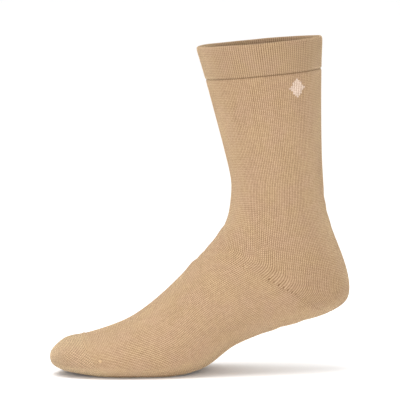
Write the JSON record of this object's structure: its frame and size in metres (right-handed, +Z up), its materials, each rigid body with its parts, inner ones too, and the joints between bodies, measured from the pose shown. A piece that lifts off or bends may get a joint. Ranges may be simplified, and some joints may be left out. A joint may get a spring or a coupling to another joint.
{
  "type": "diabetic sock",
  "caption": "Knitted crew sock for diabetic feet in its worn shape: turned welt, leg, heel pocket, instep, foot and closed toe, hollow and open at the cuff.",
  "frame": {"origin": "middle of the welt, on the leg's line, where the wearer's leg holds the sock up", "axes": "+Z up along the leg, -X towards the toes, -Y towards the big toe's side; the ball of the foot and the toes are level and the heel is raised"},
  "size_m": [0.2483, 0.0986, 0.279],
  "materials": {
    "plain_knit": "plain-knit beige cotton yarn, plush inside, matt with a short fuzz",
    "welt_knit": "double turned beige knit, matt, a shade darker than the leg"
  },
  "bodies": {
    "root": {"welt": "welt_knit", "leg": "plain_knit", "heel": "plain_knit", "instep": "plain_knit", "foot": "plain_knit", "toe": "plain_knit"}
  },
  "joints": []
}
